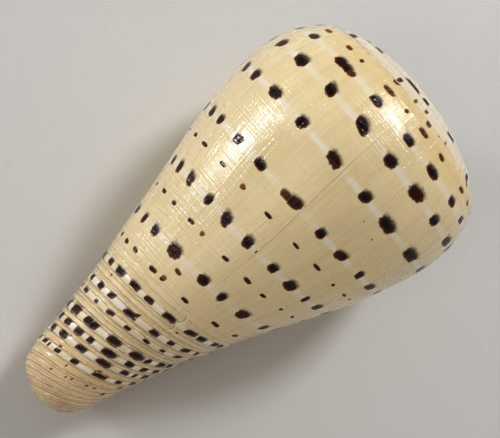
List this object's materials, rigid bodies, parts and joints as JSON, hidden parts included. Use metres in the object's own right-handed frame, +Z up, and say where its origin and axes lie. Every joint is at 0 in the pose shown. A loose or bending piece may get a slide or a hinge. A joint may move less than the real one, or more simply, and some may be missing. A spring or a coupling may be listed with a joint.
{
  "type": "cone shell",
  "caption": "Heavy cream cone shell with rows of dark spots, a rounded shoulder, spiral cords at the base and a narrow slit aperture, resting on its lip and flank.",
  "frame": {"origin": "Centre of the bounding box in X and Y, on the surface the shell rests on.", "axes": "+Z up from the resting surface, +X towards the spire and -X towards the anterior tip, +Y towards the outer lip's side."},
  "size_m": [0.0982, 0.0552, 0.0531],
  "materials": {
    "cone_shell": "polished shell, cream with dark brown spots on paler spiral bands"
  },
  "bodies": {
    "root": {"cone_shell": "cone_shell"}
  },
  "joints": []
}
